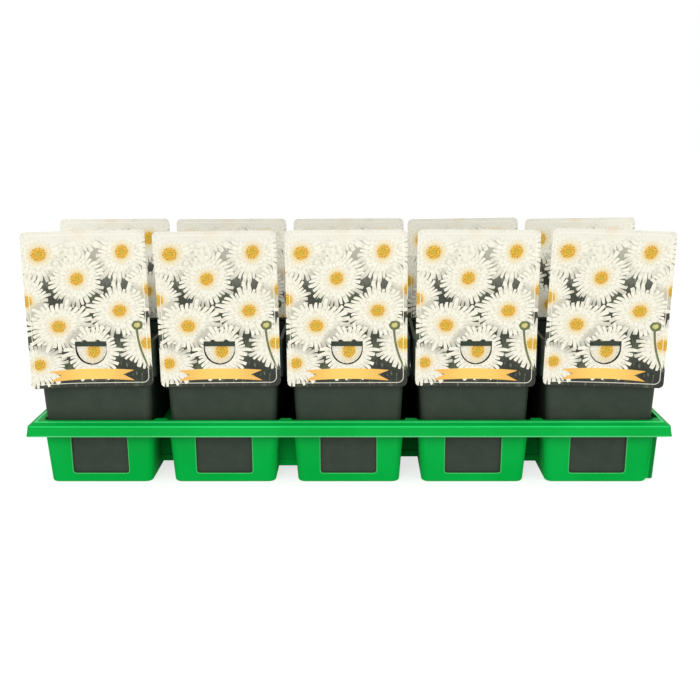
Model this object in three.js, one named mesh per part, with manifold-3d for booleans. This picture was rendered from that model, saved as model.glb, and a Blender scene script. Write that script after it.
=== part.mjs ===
// Carry tray of square nursery pots: a green moulded tray with two rows of five wells,
// a dark square pot standing in each well, growing medium and a young leucanthemum in
// each pot, and a card label hooked on the front of each pot.
// Millimetres, +Z up, origin under the middle of the tray, front of the labels towards -Y.

import * as THREE from 'three';
import { mergeVertices } from 'three/addons/utils/BufferGeometryUtils.js';
import Module from 'manifold-3d';

const wasm = await Module();
wasm.setup();

// Layout
const PITCH = 111;
const COLUMNS = 5;
const ROWS = 2;
const ROW_NAMES = ['front', 'rear'];
const SEAT_GAP = 0.3;
// How far cutting bodies reach past the surface they cut
const CUT_PAST = 2;

// Straight pieces that each rounded corner is drawn with
const TRAY_CORNER = 3;
const POT_CORNER = 2;
const SOIL_CORNER = 1;

// Tray: wells, the saddle between them, the wall under the rim
const WALL = 1.3;
const WELL_HALF = 45.6;
const WELL_TAPER = 0.07;
const WELL_RADIUS = 7;
const WELL_CHAMFER = 1.8;
const WELL_FLOOR = 1.5;
const SADDLE_Z = 46;
const RIM_Z = 58.7;
const RIB_TOP = 4.7;
const RIB_LENGTH = 68;
const RIB_WIDTH = 6;
const RIB_OFFSET = 28;
const DRAIN_RADIUS = 8;
const DRAIN_SIDES = 8;

// Stepped rim: [offset from the middles of the outer pots, height, corner radius],
// the top side outwards from the ledge to the lip, then the underside back inwards
const RIM_SECTION = [
  [49, 58.6, 6], [53.8, 58.5, 1.9], [54.8, 57.8, 2.2], [58.5, 56, 3.6], [58.9, 55.3, 4],
  [59.9, 47.4, 4.9], [60.3, 46.2, 5], [58.6, 46.2, 3.7], [57.5, 54.2, 3], [53.9, 55.9, 1.9],
  [53, 57, 1.6], [49, 57.2, 6],
];
// The section is this much wider at the two ends of the tray
const RIM_END_STRETCH = 1.2;

// Windows in the outer face of each well
const WINDOW_HALF = 25;
const WINDOW_LOW = 8.6;
const WINDOW_HIGH = 44;
const WINDOW_RADIUS = 2.5;

// Webs between neighbouring wells, and how far each stands in front of the row's middle
const WEB_SETBACKS = [7.1, 22, -4.9, 8.1];
const WEB_LOW = 8;
const WEB_THICK = 1.5;
const WEB_BAND = 6;
const WEB_BAND_PROUD = 1;

// Tabs of the rim that reach in between two pots
const TAB_ROOT_HALF = 6.3;
const TAB_TIP_HALF = 4.6;
const TAB_DEPTH = 7;

// Bulged pocket in the end wall, at the right of the front row and the left of the rear row
const POCKET_OUT = 5.2;
const POCKET_FLOOR = 2.4;
const POCKET_HALF = 43;
const POCKET_CORNER = 2;

// Pot
const POT_BASE_Z = RIB_TOP + SEAT_GAP;
const POT_BASE_HALF = 44;
const POT_WALL_TOP_HALF = 48.9;
const POT_RADIUS = 6;
const POT_CHAMFER = 1.5;
const POT_WALL = 1.2;
const POT_FLOOR = 1.5;
const COLLAR_Z = 98.6;
const COLLAR_HALF = 54.2;
const COLLAR_WALL = 1.6;
const LIP_Z = 132.5;
const LIP_WIDE = 3;
const LIP_HIGH = 2.4;
const POT_HOLE_RADIUS = 4;
const POT_HOLE_OFFSET = 15;
const POT_HOLE_SIDES = 6;

// Label seat in the pot's collar: a recess, and a bar across its top
const SEAT_HALF = 15.5;
const SEAT_DEPTH = 2.3;
const SEAT_WALL = 1.6;
const SEAT_LOW = 104;
const BAR_LOW = 126.5;
const BAR_HIGH = 130.6;
const BAR_THICK = 1;
const BAR_ROOT = 0.8;

// Growing medium
const SOIL_Z = 117;
const SOIL_MOUND = 1.5;
const SOIL_TOP_HALF = 24;
const SOIL_TOP_RADIUS = 12;
const SOIL_TOP = SOIL_Z + SOIL_MOUND;

// Plant: crown in the medium, rosette of leaves
const CROWN_RADIUS = 7;
const CROWN_DEPTH = 8;
const CROWN_SIDES = 8;
const CROWN_TOP = 1.5;
const CROWN_SHOULDER = 0.5;
// Parts of the crown's radius at its foot and at its shoulder
const CROWN_FOOT_PART = 0.55;
const CROWN_SHOULDER_PART = 0.75;
const LEAVES = 9;
const LEAF_THICK = 0.8;
const LEAF_START = 3;
const LEAF_SUNK = 1.2;
const GOLDEN_ANGLE = THREE.MathUtils.degToRad(137.5);
// A leaf's sizes in the middle of the rosette, outside, and how far a drawn value may lie apart:
// its angle over the medium at the crown and at its tip, its length and half its width
const LEAF_RISE = { inner: 84, outer: 50, drawn: 6 };
const LEAF_TIP = { inner: 50, outer: -5, drawn: 14 };
const LEAF_LENGTH = { inner: 57, outer: 40, drawn: 5 };
const LEAF_HALF_WIDTH = { inner: 8.2, outer: 7, drawn: 1.2 };
const LEAF_TURN_DRAWN = 0.3;
const FIRST_SEED = 101;
const SEED_STEP = 17;
const RANDOM_FACTOR = 16807;
const RANDOM_RANGE = 2147483647;
// Half width of a leaf along its length, as parts of its widest: stalk, blade, tip
const LEAF_OUTLINE = [[0, 0.14], [0.38, 0.16], [0.6, 0.85], [0.8, 1], [1, 0.2]];

// Label
const LABEL_HALF = 52.2;
const LABEL_LOW = 90.8;
const LABEL_HIGH = 227.2;
const LABEL_RADIUS = 4.5;
const LABEL_THICK = 0.7;
const LABEL_CURVE = 2;
const TONGUE_HALF = 13.1;
const TONGUE_LOW = 110.8;
const TONGUE_ROOT = 131.2;
const TONGUE_CUT = 0.6;
const LABEL_PIVOT_Z = 126;
// Lean of each label in degrees and its shift along the bar, both to the right, left to right
const LABEL_LEAN = { front: [-0.8, -0.6, -0.3, 0.4, 1.7], rear: [-0.3, -0.2, -0.2, -0.8, -0.8] };
const LABEL_SHIFT = { front: [-1, -0.5, -0.9, -0.2, 0.5], rear: [0, 0, 0, -2, -2] };

const finish = (color, roughness) => new THREE.MeshStandardMaterial({ color, roughness, metalness: 0 });
const trayMaterial = finish(0x02a94d, 0.42);
const potMaterial = finish(0x3b4439, 0.6);
const soilMaterial = finish(0x2b211a, 0.95);
const leafMaterial = finish(0x3f6b2c, 0.5);
const labelMaterial = finish(0xf1eedd, 0.35);

const QUARTERS = [[1, 1], [-1, 1], [-1, -1], [1, -1]];

// Outline of a rounded rectangle at height z, counterclockwise
function roundedRing(halfX, halfY, radius, z, steps) {
  const points = [];
  QUARTERS.forEach(([sx, sy], quarter) => {
    for (let step = 0; step <= steps; step += 1) {
      const angle = (quarter + step / steps) * Math.PI / 2;
      const x = sx * (halfX - radius) + radius * Math.cos(angle);
      const y = sy * (halfY - radius) + radius * Math.sin(angle);
      points.push([x, y, z]);
    }
  });
  return points;
}

function indexedGeometry(positions, index) {
  const geometry = new THREE.BufferGeometry();
  geometry.setAttribute('position', new THREE.Float32BufferAttribute(positions, 3));
  geometry.setIndex(index);
  return geometry;
}

// Two triangles for each cell between two rings, both counted counterclockwise
function bandIndex(index, ring, next, count) {
  for (let j = 0; j < count; j += 1) {
    const k = (j + 1) % count;
    index.push(ring + j, ring + k, next + k, ring + j, next + k, next + j);
  }
}

// Closed body through a stack of rings of equally many points, bottom ring first
function stackRings(rings) {
  const count = rings[0].length;
  const index = [];
  for (let i = 0; i + 1 < rings.length; i += 1) {
    bandIndex(index, i * count, (i + 1) * count, count);
  }
  const top = (rings.length - 1) * count;
  for (let j = 1; j + 1 < count; j += 1) {
    index.push(0, j + 1, j, top, top + j, top + j + 1);
  }
  return indexedGeometry(rings.flat(2), index);
}

// Body of rounded-square section; each level is [height, half width, corner radius]
function squareStack(levels, steps) {
  return stackRings(levels.map(([z, half, radius]) => roundedRing(half, half, radius, z, steps)));
}

// Outline round all the wells at an offset from the middles of the outer pots
function aroundRing(offset, z, radius, steps, endOffset = offset) {
  const spanX = (COLUMNS - 1) * PITCH / 2 + endOffset;
  const spanY = (ROWS - 1) * PITCH / 2 + offset;
  return roundedRing(spanX, spanY, radius, z, steps);
}

// Closed band round the tray, its section a list of [offset, height, corner radius] as in RIM_SECTION
function aroundBand(section, steps, endStretch = 1) {
  const inner = Math.min(...section.map(([offset]) => offset));
  const rings = section.map(([offset, z, radius]) => (
    aroundRing(offset, z, radius, steps, inner + (offset - inner) * endStretch)
  ));
  const count = rings[0].length;
  const index = [];
  rings.forEach((ring, i) => bandIndex(index, ((i + 1) % rings.length) * count, i * count, count));
  return indexedGeometry(rings.flat(2), index);
}

function box(x0, x1, y0, y1, z0, z1) {
  const geometry = new THREE.BoxGeometry(x1 - x0, y1 - y0, z1 - z0);
  return geometry.translate((x0 + x1) / 2, (y0 + y1) / 2, (z0 + z1) / 2);
}

function uprightDisc(radius, z0, z1, sides) {
  const geometry = new THREE.CylinderGeometry(radius, radius, z1 - z0, sides);
  return geometry.rotateX(Math.PI / 2).translate(0, 0, (z0 + z1) / 2);
}

// Plate drawn in X and Z, from y0 towards -Y
function uprightPlate(shape, thick, y0, curveSegments) {
  const geometry = new THREE.ExtrudeGeometry(shape, { depth: thick, bevelEnabled: false, curveSegments });
  return geometry.rotateX(Math.PI / 2).translate(0, y0, 0);
}

function toSolid(geometry) {
  const bare = geometry.clone();
  bare.deleteAttribute('normal');
  bare.deleteAttribute('uv');
  const merged = mergeVertices(bare);
  return new wasm.Manifold(new wasm.Mesh({
    numProp: 3,
    vertProperties: new Float32Array(merged.attributes.position.array),
    triVerts: new Uint32Array(merged.index.array),
  }));
}

function toGeometry(solid) {
  const { vertProperties, triVerts } = solid.getMesh();
  return indexedGeometry(Array.from(vertProperties), Array.from(triVerts));
}

const joined = (solids) => solids.reduce((whole, piece) => whole.add(piece));
const wellHalf = (z) => WELL_HALF + WELL_TAPER * z;
const columnX = (column) => (column - (COLUMNS - 1) / 2) * PITCH;
const rowY = (row) => (row - (ROWS - 1) / 2) * PITCH;

// One body in every well, from a function of the row
function everyWell(make) {
  const pieces = [];
  for (let row = 0; row < ROWS; row += 1) {
    for (let column = 0; column < COLUMNS; column += 1) {
      pieces.push(toSolid(make(row).translate(columnX(column), rowY(row), 0)));
    }
  }
  return joined(pieces);
}

// A body and its copy turned half a turn about the tray's upright axis
function bothWays(geometry) {
  return toSolid(geometry).add(toSolid(geometry.clone().rotateZ(Math.PI)));
}

function wellOutside() {
  return squareStack([
    [0, wellHalf(0) - WELL_CHAMFER, WELL_RADIUS - WELL_CHAMFER],
    [WELL_CHAMFER, wellHalf(WELL_CHAMFER), WELL_RADIUS],
    [SADDLE_Z, wellHalf(SADDLE_Z), WELL_RADIUS],
  ], TRAY_CORNER);
}

function wellHollow() {
  const high = RIM_Z + CUT_PAST;
  return squareStack([
    [WELL_FLOOR, wellHalf(WELL_FLOOR) - WALL, WELL_RADIUS - WALL],
    [high, wellHalf(high) - WALL, WELL_RADIUS - WALL],
  ], TRAY_CORNER);
}

function windowOpening(row) {
  const shape = new THREE.Shape();
  shape.moveTo(-WINDOW_HALF, WINDOW_HIGH);
  shape.lineTo(-WINDOW_HALF, WINDOW_LOW + WINDOW_RADIUS);
  shape.quadraticCurveTo(-WINDOW_HALF, WINDOW_LOW, -WINDOW_HALF + WINDOW_RADIUS, WINDOW_LOW);
  shape.lineTo(WINDOW_HALF - WINDOW_RADIUS, WINDOW_LOW);
  shape.quadraticCurveTo(WINDOW_HALF, WINDOW_LOW, WINDOW_HALF, WINDOW_LOW + WINDOW_RADIUS);
  shape.lineTo(WINDOW_HALF, WINDOW_HIGH);
  const inside = wellHalf(WINDOW_LOW) - WALL - CUT_PAST;
  const outside = wellHalf(WINDOW_HIGH) + CUT_PAST;
  const geometry = uprightPlate(shape, outside - inside, -inside, 2);
  return row === 0 ? geometry : geometry.rotateZ(Math.PI);
}

// Ribs on the floor of each well, for the pot to stand on clear of the drained water
function ribs() {
  const halfX = RIB_LENGTH / 2;
  const halfY = RIB_WIDTH / 2;
  const low = WELL_FLOOR / 2;
  const rib = (y) => box(-halfX, halfX, y - halfY, y + halfY, low, RIB_TOP);
  return everyWell(() => rib(-RIB_OFFSET)).add(everyWell(() => rib(RIB_OFFSET)));
}

// Upright web across the gap between two wells, with or without a thicker foot
function crossWeb(hasFoot) {
  const reach = (z) => PITCH / 2 - wellHalf(z) + WALL / 2;
  const ring = (z, front) => [
    [reach(z), WEB_THICK, z], [-reach(z), WEB_THICK, z], [-reach(z), front, z], [reach(z), front, z],
  ];
  const high = SADDLE_Z - WALL / 2;
  const footTop = WEB_LOW + WEB_BAND;
  const foot = [
    ring(WEB_LOW, -WEB_BAND_PROUD), ring(footTop, -WEB_BAND_PROUD), ring(footTop + WEB_BAND_PROUD, 0),
  ];
  return stackRings([...(hasFoot ? foot : [ring(WEB_LOW, 0)]), ring(high, 0)]);
}

function webs() {
  const pieces = WEB_SETBACKS.map((setback, gap) => (
    bothWays(crossWeb(true).translate(columnX(gap) + PITCH / 2, rowY(0) - setback, 0))
  ));
  for (let column = 0; column < COLUMNS; column += 1) {
    pieces.push(toSolid(crossWeb(false).rotateZ(Math.PI / 2).translate(columnX(column), 0, 0)));
  }
  return joined(pieces);
}

function tabs() {
  const root = rowY(0) - wellHalf(RIM_Z) - WALL / 2;
  const tip = root + TAB_DEPTH;
  const ring = (z) => [
    [TAB_TIP_HALF, tip, z], [-TAB_TIP_HALF, tip, z], [-TAB_ROOT_HALF, root, z], [TAB_ROOT_HALF, root, z],
  ];
  const pieces = [];
  for (let gap = 0; gap + 1 < COLUMNS; gap += 1) {
    const tab = stackRings([ring(RIM_Z - WALL), ring(RIM_Z)]);
    pieces.push(bothWays(tab.translate(columnX(gap) + PITCH / 2, 0, 0)));
  }
  return joined(pieces);
}

// Bulge of the end wall, drawn smaller by inset and reaching up to high
function pocket(inset, high) {
  const half = POCKET_HALF - inset;
  const inner = columnX(COLUMNS - 1) + WELL_HALF / 2;
  const middle = rowY(0);
  const ring = (z) => {
    const out = columnX(COLUMNS - 1) + wellHalf(z) + POCKET_OUT - inset;
    return [
      [out, middle + half - POCKET_CORNER, z], [out - POCKET_CORNER, middle + half, z],
      [inner, middle + half, z], [inner, middle - half, z],
      [out - POCKET_CORNER, middle - half, z], [out, middle - half + POCKET_CORNER, z],
    ];
  };
  return bothWays(stackRings([ring(POCKET_FLOOR + inset), ring(high)]));
}

function makeTray() {
  const low = SADDLE_Z - WALL;
  const upperWall = aroundBand([
    [wellHalf(low), low, WELL_RADIUS], [wellHalf(low) - WALL, low, WELL_RADIUS - WALL],
    [wellHalf(RIM_Z) - WALL, RIM_Z, WELL_RADIUS - WALL], [wellHalf(RIM_Z), RIM_Z, WELL_RADIUS],
  ], TRAY_CORNER);
  const saddle = stackRings([low, SADDLE_Z].map((z) => (
    aroundRing(wellHalf(SADDLE_Z) - WALL / 2, z, WELL_RADIUS - WALL / 2, TRAY_CORNER)
  )));
  const rim = aroundBand(RIM_SECTION, TRAY_CORNER, RIM_END_STRETCH);
  const outside = joined([
    everyWell(wellOutside), toSolid(upperWall), toSolid(saddle), toSolid(rim),
    pocket(0, RIM_Z - WALL), webs(),
  ]);
  const drain = () => uprightDisc(DRAIN_RADIUS, -CUT_PAST, WELL_FLOOR + CUT_PAST, DRAIN_SIDES);
  const hollows = joined([
    everyWell(wellHollow), pocket(WALL, RIM_Z + CUT_PAST), everyWell(windowOpening), everyWell(drain),
  ]);
  return joined([outside.subtract(hollows), tabs(), ribs()]);
}

function makePot() {
  const slope = (POT_WALL_TOP_HALF - POT_BASE_HALF) / (COLLAR_Z - POT_BASE_Z);
  const wallHalf = (z) => POT_BASE_HALF + slope * (z - POT_BASE_Z);
  const floorTop = POT_BASE_Z + POT_FLOOR;
  const shoulder = COLLAR_Z + COLLAR_WALL;
  const lipLow = LIP_Z - LIP_HIGH;
  const outside = toSolid(squareStack([
    [POT_BASE_Z, POT_BASE_HALF - POT_CHAMFER, POT_RADIUS - POT_CHAMFER],
    [POT_BASE_Z + POT_CHAMFER, wallHalf(POT_BASE_Z + POT_CHAMFER), POT_RADIUS],
    [COLLAR_Z, wallHalf(COLLAR_Z), POT_RADIUS],
    [COLLAR_Z, COLLAR_HALF, POT_RADIUS],
    [LIP_Z, COLLAR_HALF, POT_RADIUS],
  ], POT_CORNER));
  const inside = toSolid(squareStack([
    [floorTop, wallHalf(floorTop) - POT_WALL, POT_RADIUS - POT_WALL],
    [shoulder, wallHalf(shoulder) - POT_WALL, POT_RADIUS - POT_WALL],
    [shoulder, COLLAR_HALF - COLLAR_WALL, POT_RADIUS - COLLAR_WALL],
    [lipLow, COLLAR_HALF - COLLAR_WALL, POT_RADIUS - COLLAR_WALL],
    [lipLow, COLLAR_HALF - LIP_WIDE, POT_RADIUS - LIP_WIDE],
    [LIP_Z + CUT_PAST, COLLAR_HALF - LIP_WIDE, POT_RADIUS - LIP_WIDE],
  ], POT_CORNER));
  const face = -COLLAR_HALF;
  const seatBack = face + SEAT_DEPTH;
  const wide = SEAT_HALF + SEAT_WALL;
  const backing = box(-wide, wide, face + WALL / 2, seatBack + SEAT_WALL, SEAT_LOW - SEAT_WALL, lipLow);
  const recess = box(-SEAT_HALF, SEAT_HALF, face - CUT_PAST, seatBack, SEAT_LOW, LIP_Z + CUT_PAST);
  const barHalf = SEAT_HALF + BAR_ROOT;
  const bar = box(-barHalf, barHalf, face, face + BAR_THICK, BAR_LOW, BAR_HIGH);
  const holes = QUARTERS.map(([sx, sy]) => {
    const hole = uprightDisc(POT_HOLE_RADIUS, POT_BASE_Z - CUT_PAST, floorTop + CUT_PAST, POT_HOLE_SIDES);
    return toSolid(hole.translate(sx * POT_HOLE_OFFSET, sy * POT_HOLE_OFFSET, 0));
  });
  const cuts = joined([toSolid(recess), ...holes]);
  return outside.subtract(inside).add(toSolid(backing)).subtract(cuts).add(toSolid(bar));
}

// The growing medium fills the pot up to a little below the lip, with a hole for the crown
function makeSoil() {
  const low = POT_BASE_Z + POT_FLOOR + SEAT_GAP;
  const shoulder = COLLAR_Z + COLLAR_WALL + SEAT_GAP;
  const inset = POT_WALL + SEAT_GAP;
  const wide = COLLAR_HALF - COLLAR_WALL - SEAT_GAP;
  const corner = POT_RADIUS - inset;
  const body = toSolid(squareStack([
    [low, POT_BASE_HALF - inset, corner],
    [shoulder, POT_WALL_TOP_HALF - inset, corner],
    [shoulder, wide, corner],
    [SOIL_Z, wide, corner],
    [SOIL_TOP, SOIL_TOP_HALF, SOIL_TOP_RADIUS],
  ], SOIL_CORNER));
  const notchHalf = SEAT_HALF + SEAT_WALL + SEAT_GAP;
  const notchBack = -COLLAR_HALF + SEAT_DEPTH + SEAT_WALL + SEAT_GAP;
  const notchLow = SEAT_LOW - SEAT_WALL - SEAT_GAP;
  const notch = box(-notchHalf, notchHalf, -COLLAR_HALF, notchBack, notchLow, SOIL_TOP + CUT_PAST);
  const holeLow = SOIL_TOP - CROWN_DEPTH;
  const hole = uprightDisc(CROWN_RADIUS + SEAT_GAP, holeLow, SOIL_TOP + CUT_PAST, CROWN_SIDES);
  return body.subtract(toSolid(notch).add(toSolid(hole)));
}

// Even random numbers from 0 to 1, the same for the same seed
function seededRandom(seed) {
  let state = seed;
  return () => {
    state = (state * RANDOM_FACTOR) % RANDOM_RANGE;
    return state / RANDOM_RANGE;
  };
}

// One leaf: a flat blade, arched from the angle rise at the crown to the angle tip at its end
function leafBlade({ turn, rise, tip, length, halfWidth }) {
  const rings = [];
  let out = LEAF_START;
  let up = SOIL_TOP - LEAF_SUNK;
  let done = 0;
  LEAF_OUTLINE.forEach(([along, share]) => {
    const middle = rise + (tip - rise) * (done + along) / 2;
    out += length * (along - done) * Math.cos(middle);
    up += length * (along - done) * Math.sin(middle);
    done = along;
    const angle = rise + (tip - rise) * along;
    const side = halfWidth * share;
    const overX = -Math.sin(angle) * LEAF_THICK / 2;
    const overZ = Math.cos(angle) * LEAF_THICK / 2;
    rings.push([
      [out + overX, side, up + overZ], [out + overX, -side, up + overZ],
      [out - overX, -side, up - overZ], [out - overX, side, up - overZ],
    ]);
  });
  return stackRings(rings).rotateZ(turn);
}

// Rosette in the golden angle: low, arched leaves outside, taller and steeper ones inside
function makePlant(seed) {
  const random = seededRandom(seed);
  const drawn = ({ inner, outer, drawn: apart }, outward) => (
    inner + (outer - inner) * outward + apart * (random() - 0.5)
  );
  const leaves = [];
  for (let index = 0; index < LEAVES; index += 1) {
    const outward = 1 - index / (LEAVES - 1);
    leaves.push(toSolid(leafBlade({
      turn: index * GOLDEN_ANGLE + LEAF_TURN_DRAWN * (random() - 0.5),
      rise: THREE.MathUtils.degToRad(drawn(LEAF_RISE, outward)),
      tip: THREE.MathUtils.degToRad(drawn(LEAF_TIP, outward)),
      length: drawn(LEAF_LENGTH, outward),
      halfWidth: drawn(LEAF_HALF_WIDTH, outward),
    })));
  }
  const crownProfile = [
    [0, -CROWN_DEPTH + SEAT_GAP], [CROWN_RADIUS * CROWN_FOOT_PART, -CROWN_DEPTH + SEAT_GAP],
    [CROWN_RADIUS, -CROWN_DEPTH / 2], [CROWN_RADIUS * CROWN_SHOULDER_PART, CROWN_SHOULDER],
    [0, CROWN_TOP],
  ].map(([radius, z]) => new THREE.Vector2(radius, z));
  const crown = new THREE.LatheGeometry(crownProfile, CROWN_SIDES).rotateX(Math.PI / 2);
  return joined([toSolid(crown.translate(0, 0, SOIL_TOP)), ...leaves]);
}

// Half-round outline of the tongue: straight top and sides, then a semicircle
function drawTongue(path, half, low, high) {
  path.moveTo(half, high);
  path.lineTo(-half, high);
  path.lineTo(-half, low + half);
  path.absarc(0, low + half, half, Math.PI, 1.5 * Math.PI, false);
  path.absarc(0, low + half, half, 1.5 * Math.PI, 2 * Math.PI, false);
  path.lineTo(half, high);
  return path;
}

// Card label: a sheet with a half-round cut, whose tongue runs over and behind the pot's bar
function makeLabel(lean, shift) {
  const back = -COLLAR_HALF - SEAT_GAP;
  const sheet = new THREE.Shape();
  const x = LABEL_HALF - LABEL_RADIUS;
  const low = LABEL_LOW + LABEL_RADIUS;
  const high = LABEL_HIGH - LABEL_RADIUS;
  sheet.absarc(x, low, LABEL_RADIUS, -Math.PI / 2, 0, false);
  sheet.absarc(x, high, LABEL_RADIUS, 0, Math.PI / 2, false);
  sheet.absarc(-x, high, LABEL_RADIUS, Math.PI / 2, Math.PI, false);
  sheet.absarc(-x, low, LABEL_RADIUS, Math.PI, 1.5 * Math.PI, false);
  sheet.holes.push(drawTongue(
    new THREE.Path(), TONGUE_HALF + TONGUE_CUT, TONGUE_LOW - TONGUE_CUT, TONGUE_ROOT,
  ));
  const foldTop = TONGUE_ROOT + LABEL_THICK;
  const tongue = drawTongue(new THREE.Shape(), TONGUE_HALF, TONGUE_LOW, foldTop);
  const tongueBack = -COLLAR_HALF + BAR_THICK + SEAT_GAP + LABEL_THICK;
  const foldFront = back - LABEL_THICK / 2;
  const foldBack = tongueBack - LABEL_THICK / 2;
  const fold = box(-TONGUE_HALF, TONGUE_HALF, foldFront, foldBack, TONGUE_ROOT, foldTop);
  const label = toGeometry(joined([
    toSolid(uprightPlate(sheet, LABEL_THICK, back, LABEL_CURVE)),
    toSolid(uprightPlate(tongue, LABEL_THICK, tongueBack, LABEL_CURVE)),
    toSolid(fold),
  ]));
  label.translate(0, 0, -LABEL_PIVOT_Z).rotateY(THREE.MathUtils.degToRad(lean));
  return label.translate(shift, 0, LABEL_PIVOT_Z);
}

const group = new THREE.Group();

function place(name, geometry, material, x, y) {
  geometry.computeVertexNormals();
  const mesh = new THREE.Mesh(geometry, material.clone());
  mesh.name = name;
  mesh.position.set(x, y, 0);
  group.add(mesh);
}

place('tray', toGeometry(makeTray()), trayMaterial, 0, 0);
ROW_NAMES.forEach((rowName, row) => {
  for (let column = 0; column < COLUMNS; column += 1) {
    const spot = `${rowName}_${column + 1}`;
    const x = columnX(column);
    const y = rowY(row);
    const seed = FIRST_SEED + SEED_STEP * (row * COLUMNS + column);
    place(`pot_${spot}`, toGeometry(makePot()), potMaterial, x, y);
    place(`soil_${spot}`, toGeometry(makeSoil()), soilMaterial, x, y);
    place(`plant_${spot}`, toGeometry(makePlant(seed)), leafMaterial, x, y);
    const label = makeLabel(LABEL_LEAN[rowName][column], LABEL_SHIFT[rowName][column]);
    place(`label_${spot}`, label, labelMaterial, x, y);
  }
});

export default group;
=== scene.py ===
"""Ten potted leucanthemums in a green carry tray, each pot with a large hooked picture label."""

import math

import bpy
import numpy as np
from mathutils import Matrix


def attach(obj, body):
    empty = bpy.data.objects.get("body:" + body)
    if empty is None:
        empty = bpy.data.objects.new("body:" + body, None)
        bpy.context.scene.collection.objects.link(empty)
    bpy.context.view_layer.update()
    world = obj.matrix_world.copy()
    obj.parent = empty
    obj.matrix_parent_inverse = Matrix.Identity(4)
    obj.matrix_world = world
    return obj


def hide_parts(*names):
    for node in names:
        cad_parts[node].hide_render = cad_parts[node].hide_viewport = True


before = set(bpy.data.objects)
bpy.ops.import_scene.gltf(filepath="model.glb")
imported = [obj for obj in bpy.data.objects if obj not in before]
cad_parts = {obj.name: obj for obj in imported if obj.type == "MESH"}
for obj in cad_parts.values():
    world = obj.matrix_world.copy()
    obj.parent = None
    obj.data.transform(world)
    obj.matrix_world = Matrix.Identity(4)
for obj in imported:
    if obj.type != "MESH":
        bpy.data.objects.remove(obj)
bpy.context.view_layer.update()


# Carry tray: one injection-moulded piece of green polypropylene. Its ten tapered wells in two
# rows are joined by a low saddle and by webs underneath, and hung from a stepped rim that is
# the handle. The outer face of each well is cut open as a window on its pot.

MM = 0.001
PITCH = 111.0
COLUMN_X = (np.arange(5) - 2) * PITCH
ROW_Y = {"front": -PITCH / 2, "rear": PITCH / 2}
WALL = 1.3
WELL_HALF = 45.6
WELL_TAPER = 0.07
WELL_RADIUS = 7.0
WELL_FOOT = 2.2
WELL_FLOOR = 1.5
WELL_INNER_FOOT = 1.5
SADDLE_TOP = 46.0
RIM_TOP = 58.7
WINDOW = {"half": 25.0, "low": 8.6, "high": 44.0, "radius": 2.5, "deep": 5.0}
WEB_AHEAD = (7.1, 22.0, -4.9, 8.1)  # how far each web stands in front of its row's middle
WEB = {"thick": 1.5, "low": 8.0, "high": SADDLE_TOP - 0.6, "band": 5.5, "band_proud": 1.0}
TAB = {"root_half": 6.3, "tip_half": 4.6, "deep": 7.0, "in_wall": 0.6, "under": 1.2, "over": 0.2}
POCKET = {"inner": 25.0, "out": 5.2, "half": 43.0, "floor": 2.4, "corner": 2.5, "below_rim": 1.0}
DRAIN = {"radius": 8.0, "top": 4.0}
RIB = {"half_long": 34.0, "half_wide": 3.0, "corner": 1.2, "at": 28.0}
RIB_LEVELS = ((0.8, 0.0), (3.9, 0.0), (4.7, 0.7))  # height, how much narrower
CUT_PAST = 2.0  # how far a cutting solid reaches past what it cuts
RIM_SECTION = [  # offset from the middles of the outer pots, height, rounding of that edge
    (49.0, 58.6, 0.3), (54.3, 58.3, 0.9), (55.0, 57.4, 0.5), (58.8, 55.6, 0.9), (59.9, 47.4, 0.5),
    (60.3, 46.2, 0.4), (58.6, 46.2, 0.3), (57.5, 54.2, 0.6), (53.9, 55.9, 0.5), (53.0, 57.0, 0.6),
    (49.0, 57.2, 0.3)]
RIM_INNER = 49.0
RIM_END_STRETCH = 1.2  # the section is this much wider at the two ends of the tray
BEVEL_OVER = 34.0  # degrees: sharper edges of the mouldings get a small bevel


def rounded_rectangle(half_x, half_y, radius, steps):
    """Counterclockwise outline: each corner's middle plus a quarter circle of the radius."""
    angle = np.arange(4)[:, None] * np.pi / 2 + np.linspace(0, np.pi / 2, steps + 1)
    side = np.array([[1, 1], [-1, 1], [-1, -1], [1, -1]])
    x = side[:, :1] * (half_x - radius) + radius * np.cos(angle)
    y = side[:, 1:] * (half_y - radius) + radius * np.sin(angle)
    return np.stack([x.ravel(), y.ravel()], 1)


def softened(profile):
    """Each corner of the profile becomes a parabola: it starts and ends the corner's rounding
    away along the two sides, and blends start, corner and end by (1-t)^2, 2t(1-t), t^2."""
    points = np.array([p[:-1] for p in profile], float)
    round_by = np.array([p[-1] for p in profile], float)
    t = np.linspace(0, 1, 4)[:, None]
    out = []
    for i, corner in enumerate(points):
        before, after = points[i - 1], points[(i + 1) % len(points)]
        start = corner + (before - corner) * round_by[i] / np.linalg.norm(before - corner)
        end = corner + (after - corner) * round_by[i] / np.linalg.norm(after - corner)
        out.append((1 - t) ** 2 * start + 2 * t * (1 - t) * corner + t ** 2 * end)
    return np.concatenate(out)


def grid_faces(rows, columns, close_rows=False, close_columns=True):
    """Quads between neighbouring points of a grid, wrapped round where it closes."""
    r = np.arange(rows if close_rows else rows - 1)[:, None]
    c = np.arange(columns if close_columns else columns - 1)[None, :]
    r2, c2 = (r + 1) % rows, (c + 1) % columns
    return np.stack(np.broadcast_arrays(
        r * columns + c, r * columns + c2, r2 * columns + c2, r2 * columns + c), -1).reshape(-1, 4)


def level_ring(outline, z):
    return np.c_[outline, np.full(len(outline), z)]


def stacked(rings):
    """Closed solid through rings of equally many points, lowest first."""
    rings = np.array(rings, float)
    levels, count, _ = rings.shape
    ends = [list(range(count))[::-1], list(range((levels - 1) * count, levels * count))]
    return rings.reshape(-1, 3), grid_faces(levels, count).tolist() + ends


def tower(levels, steps=8):
    """Closed solid through rounded rectangles (height, half x, half y, radius), lowest first."""
    return stacked([level_ring(rounded_rectangle(hx, hy, r, steps), z) for z, hx, hy, r in levels])


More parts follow.
